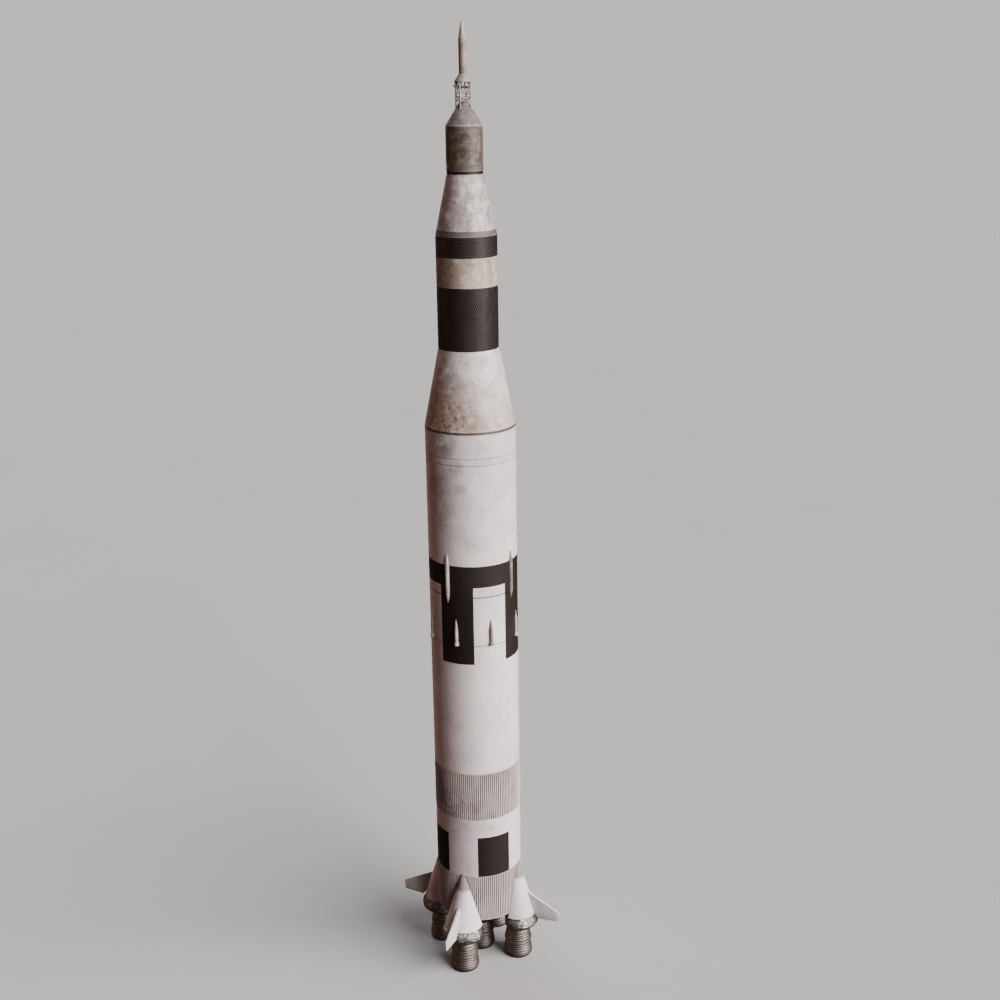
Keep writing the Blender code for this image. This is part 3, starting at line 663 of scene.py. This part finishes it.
def buildFloor():
    bm = bmesh.new()
    bmesh.ops.create_circle(bm, cap_ends=True, segments=96, radius=studio["floorRadius"])
    mesh = meshOf(bm, "studioFloor")
    floor = bpy.data.objects.new("studioFloor", mesh)
    scene.collection.objects.link(floor)
    # the floor throws no light back up at the rocket
    floor.visible_diffuse = False
    floor.visible_glossy = False
    material, shader, vector = startMaterial("floorPaper", specular=0.0)
    tone = remap(noiseMask(vector, 0.4, 3.0, 0.5), 0.3, 0.7, 0.0, 0.3)
    colour = blend(tone, studio["floorColour"], studio["floorShade"])
    join(colour, shader.inputs["Base Color"])
    shader.inputs["Roughness"].default_value = 0.85
    mesh.materials.append(material)


def buildWorld():
    world = bpy.data.worlds.new("studioWorld")
    world.use_nodes = True
    shading["tree"] = world.node_tree
    back = world.node_tree.nodes["Background"]
    seen = addNode("LightPath").outputs["Is Camera Ray"]
    join(blend(seen, studio["worldColour"], studio["wallColour"]), back.inputs["Color"])
    join(remap(seen, 0.0, 1.0, studio["worldStrength"], 1.0), back.inputs["Strength"])
    scene.world = world


placeCamera()
buildFloor()
buildWorld()
for name, azimuth, height, softness, strength, colour in studio["lights"]:
    data = bpy.data.lights.new(name, "SUN")
    data.energy = strength
    data.angle = radians(softness)
    data.color = colour
    light = bpy.data.objects.new(name, data)
    light.location = studio["lightOut"] * outAt(azimuth, 1.0, tan(radians(height)))
    light.rotation_euler = (-light.location).to_track_quat("-Z", "Y").to_euler()
    scene.collection.objects.link(light)
print("camera, floor and lights ready")


# plain drums of the stages
hullDrums = {
    "steps": 160,
    "groove": 0.0015,  # half width of the open joint between two drums
    "pieces": (
        # node, finish, slot, open joint at the foot, open joint at the head
        ("fuel_tank", "firstStagePaint", "white_paint", 1, 1),
        ("oxidiser_tank", "firstStagePaint", "white_paint", 1, 0),
        ("first_stage_forward_skirt", "firstStagePaint", "white_paint", 0, 1),
        ("interstage_ring", "interstagePaint", "white_paint", 1, 1),
        ("second_stage_aft_skirt", "interstagePaint", "black_paint", 1, 0),
        ("hydrogen_tank", "secondStagePaint", "white_paint", 0, 1),
        ("second_stage_forward_skirt", "forwardSkirtPaint", "white_paint", 1, 1),
        ("third_stage_aft_skirt", "thirdStageBlack", "black_paint", 1, 0),
        ("third_stage_tank", "thirdStagePaint", "cream_paint", 0, 0),
        ("third_stage_forward_skirt", "thirdStageBlack", "black_paint", 0, 1),
        ("conical_interstage", "coneInterstagePaint", "white_paint", 1, 1),
        ("spacecraft_adapter", "adapterPaint", "grey_paint", 1, 1),
    ),
    # radii at the foot and the head of the drums that taper
    "tapers": {"conical_interstage": (0.503, 0.3302), "spacecraft_adapter": (0.3302, 0.1955)},
}


def drumProfile(low, high, footRadius, headRadius, openFoot, openHead):
    g = hullDrums["groove"]
    slope = (headRadius - footRadius) / (high - low)
    head, foot = [(headRadius, high)], [(footRadius, low)]
    if openHead:
        head = [(headRadius - 2 * g, high), (headRadius - slope * g, high - g)]
    if openFoot:
        foot = [(footRadius + slope * g, low + g), (footRadius - 2 * g, low)]
    return [(0.0, high)] + head + foot + [(0.0, low)]


for node, finish, slotName, openFoot, openHead in hullDrums["pieces"]:
    low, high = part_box(node)
    foot, head = hullDrums["tapers"].get(node, (high[0], high[0]))
    profile = drumProfile(low[2], high[2], foot, head, openFoot, openHead)
    mesh = spun(node + "Skin", profile, hullDrums["steps"])
    finishPiece(node + "Skin", mesh, finish, node)
print("drums and cones ready")


# service module, with a dark open joint and its studs at the foot
module = {
    "steps": 120,
    "radius": 0.1955,
    "bevel": 0.003,
    "jointRadius": 0.185,
    "jointHigh": 0.027,
    "studs": 40,
    "studSize": (0.006, 0.008, 0.026),
    "studIn": 0.001,  # reach into the joint's wall
    "studUp": 0.0005,  # gap over the joint's foot
    "grooveDeep": 0.0012,
    "grooveSlope": 0.002,
    "headGroove": (0.026, 0.036),  # upper and lower edge, down from the head
    "footGrooves": ((0.098, 0.087), (0.079, 0.068)),  # and up from the foot
}


def buildModule():
    low, high = (corner[2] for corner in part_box("service_module"))
    r, inner, bevel = module["radius"], module["jointRadius"], module["bevel"]
    deep, slope = module["grooveDeep"], module["grooveSlope"]
    joint = low + module["jointHigh"]
    grooves = [tuple(high - down for down in module["headGroove"])]
    grooves += [(low + top, low + foot) for top, foot in module["footGrooves"]]
    profile = [(0.0, high), (r - bevel, high), (r, high - bevel)]
    for top, foot in grooves:
        profile += [(r, top), (r - deep, top - slope), (r - deep, foot + slope), (r, foot)]
    profile += [(r, joint + bevel), (r - bevel, joint), (inner, joint), (inner, low), (0.0, low)]
    bm = bmesh.new()
    bm.from_mesh(spun("moduleDrum", profile, module["steps"]))
    wide, thick, tall = module["studSize"]
    out = inner + thick / 2 - module["studIn"]
    spot = Matrix.Translation((0.0, -out, low + tall / 2 + module["studUp"]))
    for i in range(module["studs"]):
        turn = Matrix.Rotation(tau * i / module["studs"], 4, "Z")
        bmesh.ops.create_cube(bm, size=1.0, matrix=turn @ spot @ Matrix.Diagonal((wide, thick, tall, 1.0)))
    finishPiece("moduleSkin", meshOf(bm, "moduleSkin"), "module", "service_module",
                smoothAngle=25.0)


buildModule()
print("service module ready")


# fluted bands
flutes = {
    "ribs": 128,
    "crest": 0.505,
    "valley": 0.4985,
    "rim": 0.503,
    "crestShare": 0.38,  # part of each rib's step that is its flat crest
    "slopeShare": 0.16,  # and that is each of its two slopes
    "lip": 0.006,
}


def grownFrom(bm, edges):
    return vertsOf(bmesh.ops.extrude_edge_only(bm, edges=edges))


def openEdges(bm, verts):
    return [e for e in bm.edges if e.is_boundary and e.verts[0] in verts]


def flutedMesh(name, low, high):
    ribs, lip = flutes["ribs"], flutes["lip"]
    half, slope = flutes["crestShare"] / 2, flutes["slopeShare"]
    offsets = (-half, half, half + slope, 1.0 - half - slope)
    radii = (flutes["crest"], flutes["crest"], flutes["valley"], flutes["valley"])
    stepAngle = tau / ribs
    bm = bmesh.new()
    made = bmesh.ops.create_circle(bm, segments=ribs * 4, radius=1.0, cap_ends=False)
    footRing = sorted(made["verts"], key=lambda v: atan2(v.co.y, v.co.x))
    for i, vert in enumerate(footRing):
        angle = (i // 4 + offsets[i % 4]) * stepAngle
        vert.co = (radii[i % 4] * cos(angle), radii[i % 4] * sin(angle), low + lip)
    headRing = grownFrom(bm, list(bm.edges))
    for vert in headRing:
        vert.co.z = high - lip
    for ring, height in ((headRing, high), (footRing, low)):
        verts = grownFrom(bm, openEdges(bm, ring))
        for vert in verts:  # closed towards the hull
            vert.co.x, vert.co.y = vert.co.xy.normalized() * flutes["rim"]
        verts = grownFrom(bm, openEdges(bm, verts))
        for vert in verts:
            vert.co.z = height
        bmesh.ops.edgenet_fill(bm, edges=openEdges(bm, verts))
    bmesh.ops.recalc_face_normals(bm, faces=bm.faces)
    return meshOf(bm, name)


for node in ("aft_skirt", "intertank"):
    low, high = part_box(node)
    mesh = flutedMesh(node + "Ribs", low[2], high[2])
    finishPiece(node + "Ribs", mesh, "flute", node, smoothAngle=15.0)
print("fluted bands ready")


# engines
engineShape = {
    "steps": 96,
    "ringHeight": 0.0042,
    "outerHead": ((0.0, 0.552), (0.048, 0.552)),
    "centreHead": ((0.0, 0.6397), (0.06, 0.6397), (0.06, 0.57)),
    "chamber": ((0.0805, 0.54), (0.085, 0.515), (0.085, 0.3365), (0.11, 0.346), (0.128, 0.3542)),
    # the part of the chamber with rings
    "belly": ((0.136, 0.345), (0.142, 0.318), (0.15, 0.28), (0.157, 0.245), (0.16, 0.228)),
    "chamberFoot": ((0.164, 0.222), (0.164, 0.21), (0.158, 0.208)),
    "chamberInside": (
        (0.142, 0.208), (0.13, 0.25), (0.104, 0.29), (0.066, 0.325), (0.044, 0.37), (0.052, 0.42),
        (0.052, 0.47), (0.0, 0.47)),
    "nozzleOutside": (
        (0.152, 0.2077), (0.154, 0.165), (0.16, 0.125), (0.1675, 0.085), (0.1715, 0.05), (0.168, 0.02),
        (0.158, 0.0)),
    "nozzleInside": (
        (0.15, 0.0), (0.159, 0.02), (0.1625, 0.05), (0.1585, 0.085), (0.151, 0.125), (0.145, 0.165),
        (0.142, 0.2077)),
    "bellyRings": (0.343, 0.228),  # between these heights
    "nozzleRings": (0.203, 0.0),
    "insideSpacing": 0.012,
    "liningTop": 0.5,
}


def alongLine(points, spacing):
    # points about one spacing apart along a smooth line through the given ones
    points = [Vector(point) for point in points]
    dense = []
    for four in zip(points[:1] + points, points, points[1:], points[2:] + points[-1:]):
        count = max(1, round((four[2] - four[1]).length / spacing))
        dense += [onCurve(*four, k / count) for k in range(count)]
    return dense + points[-1:]


def ringedLine(points, topHeight, lowHeight):
    # a turned outline with wrapped rings between two heights, none prouder than the line itself
    rise = engineShape["ringHeight"]
    out = []
    for x, y in alongLine(points, ringPitch / 8):
        if lowHeight < y < topHeight:
            wave = abs(sin(pi * (y - lowHeight) / ringPitch))
            x = x - rise + rise * wave ** 0.6
        out.append((x, y))
    return out


def markLining(mesh, centre):
    # faces that look towards the engine's own axis are its darker lining
    layer = mesh.attributes.new("lining", "FLOAT", "FACE")
    for poly in mesh.polygons:
        towards = (poly.center - centre).xy.dot(poly.normal.xy)
        inside = towards < -0.0005 * poly.area ** 0.5 and poly.center.z < engineShape["liningTop"]
        layer.data[poly.index].value = float(inside)


def buildEngine(label, azimuth, distance, body):
    shape = engineShape
    head = shape["outerHead"] if distance else shape["centreHead"]
    chamber = [*head, *shape["chamber"], *ringedLine(shape["belly"], *shape["bellyRings"]),
               *shape["chamberFoot"], *shape["chamberInside"]]
    inside = [tuple(point) for point in alongLine(shape["nozzleInside"], shape["insideSpacing"])]
    nozzle = ringedLine(shape["nozzleOutside"], *shape["nozzleRings"]) + inside
    for part, node, line, closedLine in (("chamber", "thrust_chamber", chamber, False),
                                         ("nozzle", "nozzle_extension", nozzle, True)):
        mesh = placed(spun(part, line, shape["steps"], closedLine), azimuth, distance)
        markLining(mesh, outAt(azimuth, distance))
        finishPiece(f"{part}Skin{label}", mesh, "bell", f"{node}_{label}", body)


for number, azimuth in enumerate(quarters, 1):
    buildEngine(str(number), azimuth, engineOut, f"engine_{number}")
buildEngine("centre", 0, 0.0, "vehicle")
print("engines ready")


# foil bowls that close the fairings
bowl = {
    "sides": 120,
    "rows": 44,
    "wall": 0.0035,
    "crumple": 0.005,
    "sections": (
        # height, shift outwards, half depth, half width
        (0.6397, 0.026, 0.155, 0.179),
        (0.585, 0.034, 0.171, 0.199),
        (0.53, 0.05, 0.195, 0.235),
        (0.48, 0.055, 0.201, 0.245),
        (0.44, 0.045, 0.191, 0.229),
        (0.41, 0.025, 0.174, 0.199),
        (0.385, 0.008, 0.152, 0.162),
        (0.366, 0.0, 0.1355, 0.1355),
    ),
}


def bowlSection(share):
    rows = bowl["sections"]
    place = share * (len(rows) - 1)
    i = min(int(place), len(rows) - 2)
    picks = [rows[max(i - 1, 0)], rows[i], rows[i + 1], rows[min(i + 2, len(rows) - 1)]]
    return [onCurve(*four, place - i) for four in zip(*picks)]


def crumpled(point, seed):
    spot = Vector((point.x * 9.0 + seed, point.y * 9.0, point.z * 16.0))
    near = noise.voronoi(spot, distance_metric="DISTANCE", exponent=2.5)[0]
    return (near[1] - near[0]) * 0.8 - 0.5 + 0.8 * noise.noise(spot * 1.7) + 0.3 * noise.noise(spot * 4.1)


def crumpleShare(height):
    # none at the bowl's top and foot
    top, foot = bowl["sections"][0][0], bowl["sections"][-1][0]
    share = (top - height) / (top - foot)
    return max(0.0, min(1.0, (share - 0.2) * 6)) * max(0.0, min(1.0, (1.0 - share) * 9))


def bowlMesh(seed):
    bm = bmesh.new()
    rows = bowl["rows"]
    ring = bmesh.ops.create_circle(bm, segments=bowl["sides"], radius=1.0, cap_ends=False)["verts"]
    edges = list(bm.edges)
    angles = [atan2(v.co.x, -v.co.y) for v in ring]
    for row in range(rows + 1):
        if row:
            grown = bmesh.ops.extrude_edge_only(bm, edges=edges)
            ring = vertsOf(grown)
            edges = [item for item in grown["geom"] if isinstance(item, bmesh.types.BMEdge)]
            angles = [atan2(v.co.x / wide, -(v.co.y + shift) / deep) for v in ring]
        height, shift, deep, wide = bowlSection(row / rows)
        for vert, a in zip(ring, angles):
            vert.co = (wide * sin(a), -shift - deep * cos(a), height)
    bmesh.ops.recalc_face_normals(bm, faces=bm.faces)
    bm.normal_update()
    moves = [(v, v.normal * (crumpled(v.co, seed) * bowl["crumple"] * crumpleShare(v.co.z)))
             for v in bm.verts]
    for vert, move in moves:
        vert.co += move
    bmesh.ops.solidify(bm, geom=list(bm.faces), thickness=bowl["wall"])
    return meshOf(bm, "bowl")


for number, azimuth in enumerate(quarters, 1):
    mesh = placed(bowlMesh(number * 7.0), azimuth, engineOut)
    finishPiece(f"foilBowl{number}", mesh, "foil", f"fairing_closeout_{number}",
                smoothAngle=50.0)
print("foil bowls ready")


# engine fairings
def fairingPoint(angle, share):
    # share 0 is the foot and 1 the tip inside the body
    out = fairing["footOut"] + (fairing["tipOut"] - fairing["footOut"]) * share
    radius = fairing["footRadius"] * (1.0 - share)
    height = fairing["footHeight"] + (fairing["tipHeight"] - fairing["footHeight"]) * share
    return Vector((radius * sin(angle), -out - radius * cos(angle), height))


def whereBodyCuts(angle):
    # how far up this line of the cone reaches before it enters the body
    low, high = 0.0, 1.0
    for _ in range(30):
        middle = (low + high) / 2
        if fairingPoint(angle, middle).xy.length > fairing["bodyRadius"]:
            low = middle
        else:
            high = middle
    return low


def fairingMesh():
    # the widest angle at which the cone's foot is still outside the body
    widest = pi / 2
    while whereBodyCuts(widest) > 0.0005:
        widest += 0.002
    bm = bmesh.new()
    bmesh.ops.create_grid(bm, x_segments=fairing["around"], y_segments=fairing["along"], size=1.0)
    for vert in bm.verts:
        angle = vert.co.x * widest
        vert.co = fairingPoint(angle, whereBodyCuts(angle) * (vert.co.y + 1.0) / 2)
    bmesh.ops.remove_doubles(bm, verts=bm.verts, dist=fairing["mergeDistance"])
    bmesh.ops.recalc_face_normals(bm, faces=bm.faces)
    if sum(f.normal.y for f in bm.faces) > 0:
        bmesh.ops.reverse_faces(bm, faces=bm.faces)
    bmesh.ops.solidify(bm, geom=list(bm.faces), thickness=fairing["wall"])
    return meshOf(bm, "fairing")


for number, azimuth in enumerate(quarters, 1):
    finishPiece(f"fairingSkin{number}", placed(fairingMesh(), azimuth), "fairingPaint",
                f"engine_fairing_{number}", smoothAngle=60.0)
print("fairings ready")


# fins, thinner towards the tip
fin = {
    "longestAcross": 0.012,  # edges that reach further across aren't rounded
    "outline": (
        (0.6299, 0.866), (1.022, 0.656), (1.028, 0.646), (1.019, 0.5355), (0.764, 0.521), (0.7186, 0.587)),
    "rootThick": 0.034,
    "tipThick": 0.014,
    "edge": 0.0035,
}


def finMesh():
    bm = bmesh.new()
    face = bm.faces.new([bm.verts.new((0.5, -out, height)) for out, height in fin["outline"]])
    grown = bmesh.ops.extrude_face_region(bm, geom=[face])
    bmesh.ops.translate(bm, vec=(-1.0, 0.0, 0.0), verts=vertsOf(grown))
    root, tip = fin["outline"][0][0], fin["outline"][2][0]
    for vert in bm.verts:
        share = min(1.0, (-vert.co.y - root) / (tip - root))
        vert.co.x *= fin["rootThick"] + (fin["tipThick"] - fin["rootThick"]) * share
    bmesh.ops.recalc_face_normals(bm, faces=bm.faces)
    rim = [e for e in bm.edges if abs(e.verts[0].co.x - e.verts[1].co.x) < fin["longestAcross"]]
    bmesh.ops.bevel(bm, geom=rim, offset=fin["edge"], affect="EDGES", segments=3, profile=0.5, material=-1)
    return meshOf(bm, "fin")


for number, azimuth in enumerate(quarters, 1):
    finishPiece(f"finSkin{number}", placed(finMesh(), azimuth), "finPaint",
                f"fin_{number}", smoothAngle=30.0)
print("fins ready")


# small motors and line covers on the body's side
sidePods = {
    "steps": 32,
    "motorOut": 0.513,
    # these motors and covers are painted darker all over
    "darkerMotors": (2, 6),
    "motor": (
        (0.0, 4.505), (0.0028, 4.496), (0.0065, 4.47), (0.0125, 4.428), (0.0175, 4.395), (0.0195, 4.372),
        (0.0185, 4.368), (0.0195, 4.364), (0.02, 4.3), (0.02, 4.244), (0.019, 4.241), (0.02, 4.238),
        (0.0225, 4.228), (0.028, 4.211), (0.028, 4.192), (0.026, 4.19), (0.02, 4.19), (0.014, 4.214),
        (0.0, 4.218)),
    "coverOut": 0.507,
    "darkerCovers": (2, 4),
    "cover": (
        (0.0, 5.262), (0.004, 5.249), (0.01, 5.213), (0.018, 5.165), (0.0235, 5.117), (0.0235, 5.111),
        (0.0225, 5.109), (0.024, 5.106), (0.024, 4.801), (0.0225, 4.798), (0.0235, 4.795), (0.018, 4.755),
        (0.009, 4.714), (0.003, 4.688), (0.0, 4.68)),
    "coverTurn": -11.25,
}


def addPod(name, line, azimuth, distance, darker, node):
    mesh = placed(spun(name, line, sidePods["steps"]), azimuth, distance)
    finishPiece(name, mesh, "darkerPodPaint" if darker else "smallPaint", node)


for number in range(1, 9):
    addPod(f"ullageSkin{number}", sidePods["motor"], 45 * (number - 1), sidePods["motorOut"],
           number in sidePods["darkerMotors"], f"ullage_motor_{number}")
for number, azimuth in enumerate(quarters, 1):
    addPod(f"lineCoverSkin{number}", sidePods["cover"], azimuth + sidePods["coverTurn"],
           sidePods["coverOut"], number in sidePods["darkerCovers"], f"feed_line_fairing_{number}")
print("small motors and line covers ready")


# cover of the command module
moduleCover = (
    (0.0, 10.082), (0.008, 10.0814), (0.0145, 10.0795), (0.0205, 10.0765), (0.026, 10.0728),
    (0.0312, 10.0684), (0.0365, 10.063), (0.1935, 9.821), (0.1953, 9.817), (0.1955, 9.812),
    (0.1955, 9.8025), (0.194, 9.7996), (0.0, 9.7996))

finishPiece("coverSkin", spun("cover", moduleCover, module["steps"]), "coverPaint",
            "command_module_cover", smoothAngle=25.0)
print("cover ready")


# escape tower of round tubes
tower = {
    "tubeSides": 20,
    "braceSides": 14,
    "foot": 9.974,
    "head": 10.2454,
    "footOut": 0.084,
    "headOut": 0.082,
    "tube": 0.0078,
    "brace": 0.0048,
    "rings": (10.058, 10.108),
    "braceHead": 10.234,
    "collar": 0.0098,  # at each end of a leg
    "collarHigh": 0.01,
    "footCollarUp": 0.012,
    "joint": 1.3,  # size of the balls beside the tubes
}


def towerPoint(azimuth, height):
    share = (height - tower["foot"]) / (tower["head"] - tower["foot"])
    return outAt(azimuth, tower["footOut"] + (tower["headOut"] - tower["footOut"]) * share, height)


def addTube(bm, start, end, radius, sides=tower["tubeSides"]):
    along = end - start
    place = Matrix.Translation((start + end) / 2) @ along.to_track_quat("Z", "Y").to_matrix().to_4x4()
    bmesh.ops.create_cone(bm, cap_ends=True, segments=sides, radius1=radius, radius2=radius,
                          depth=along.length, matrix=place)


def buildTower():
    bm = bmesh.new()
    foot, head, high, braceHead = (tower[key] for key in ("foot", "head", "collarHigh", "braceHead"))
    lower, upper = tower["rings"]
    braces = ((lower, lower), (upper, upper), (lower, upper), (upper, lower), (upper, braceHead),
              (braceHead, upper))
    for azimuth in quarters:
        addTube(bm, towerPoint(azimuth, foot), towerPoint(azimuth, head), tower["tube"])
        for height in (foot + tower["footCollarUp"], head - high):
            addTube(bm, towerPoint(azimuth, height), towerPoint(azimuth, height + high), tower["collar"])
        for height in (lower, upper):
            bmesh.ops.create_uvsphere(bm, u_segments=14, v_segments=8, radius=tower["tube"] * tower["joint"],
                                      matrix=Matrix.Translation(towerPoint(azimuth, height)))
        for start, end in braces:
            addTube(bm, towerPoint(azimuth, start), towerPoint(azimuth + 90, end), tower["brace"],
                    tower["braceSides"])
    finishPiece("towerTubes", meshOf(bm, "towerTubes"), "towerPaint", "escape_tower")


buildTower()
print("escape tower ready")


# escape motor with its skirt, canted bells and nose
escape = {
    "skirtSteps": 96,
    "bodySteps": 64,
    "bellSteps": 32,
    "skirt": (
        (0.0, 10.3248), (0.043, 10.3248), (0.044, 10.322), (0.093, 10.258), (0.094, 10.2555),
        (0.094, 10.248), (0.0925, 10.246), (0.0, 10.246)),
    "bell": (
        (0.0, 0.039), (0.01, 0.039), (0.01, 0.026), (0.013, 0.012), (0.018, -0.012), (0.0226, -0.033),
        (0.024, -0.0345), (0.024, -0.039), (0.0222, -0.039), (0.016, -0.012), (0.011, 0.01), (0.0, 0.012)),
    "bellOut": 0.07,
    "bellHeight": 10.228,
    "lean": 30.0,
    "motor": (
        (0.0, 10.6617), (0.04, 10.6617), (0.0413, 10.66), (0.0413, 10.64), (0.0405, 10.639),
        (0.0405, 10.637), (0.0413, 10.636), (0.0413, 10.356), (0.0405, 10.355), (0.0405, 10.353),
        (0.0413, 10.352), (0.0413, 10.3265), (0.04, 10.3252), (0.0, 10.3252)),
    "nose": (
        (0.0, 10.856), (0.003, 10.855), (0.006, 10.85), (0.012, 10.828), (0.018, 10.8), (0.0275, 10.755),
        (0.036, 10.7), (0.04, 10.676), (0.0413, 10.669), (0.0413, 10.664), (0.04, 10.6622),
        (0.0, 10.6622)),
}


def buildEscape():
    bm = bmesh.new()
    bm.from_mesh(spun("skirtCone", escape["skirt"], escape["skirtSteps"]))
    for azimuth in quarters:
        bell = spun("bell", escape["bell"], escape["bellSteps"])
        place = Matrix.Translation(outAt(azimuth + 45, escape["bellOut"], escape["bellHeight"]))
        bell.transform(place @ turned(azimuth + 45) @ turned(-escape["lean"], "X"))
        bm.from_mesh(bell)
    finishPiece("escapeSkirtSkin", meshOf(bm, "escapeSkirt"), "skirtPaint", "escape_skirt",
                smoothAngle=30.0)
    motor, nose = (spun(part, escape[part], escape["bodySteps"]) for part in ("motor", "nose"))
    finishPiece("escapeMotorSkin", motor, "motorPaint", "escape_motor", smoothAngle=25.0)
    finishPiece("escapeNoseSkin", nose, "nosePaint", "escape_nose", smoothAngle=30.0)


buildEscape()
print("escape motor and nose ready")


# nodes that keep their CAD shape get their finish
nodeFinish = {
    "gimbal_cross": "gimbalSteel",
    "base_heat_shield": "shieldPaint",
}


for node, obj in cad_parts.items():
    for start, finish in nodeFinish.items():
        if node.startswith(start):
            for holder in obj.material_slots:
                holder.material = materials[finish]
print("carried-over nodes dressed")
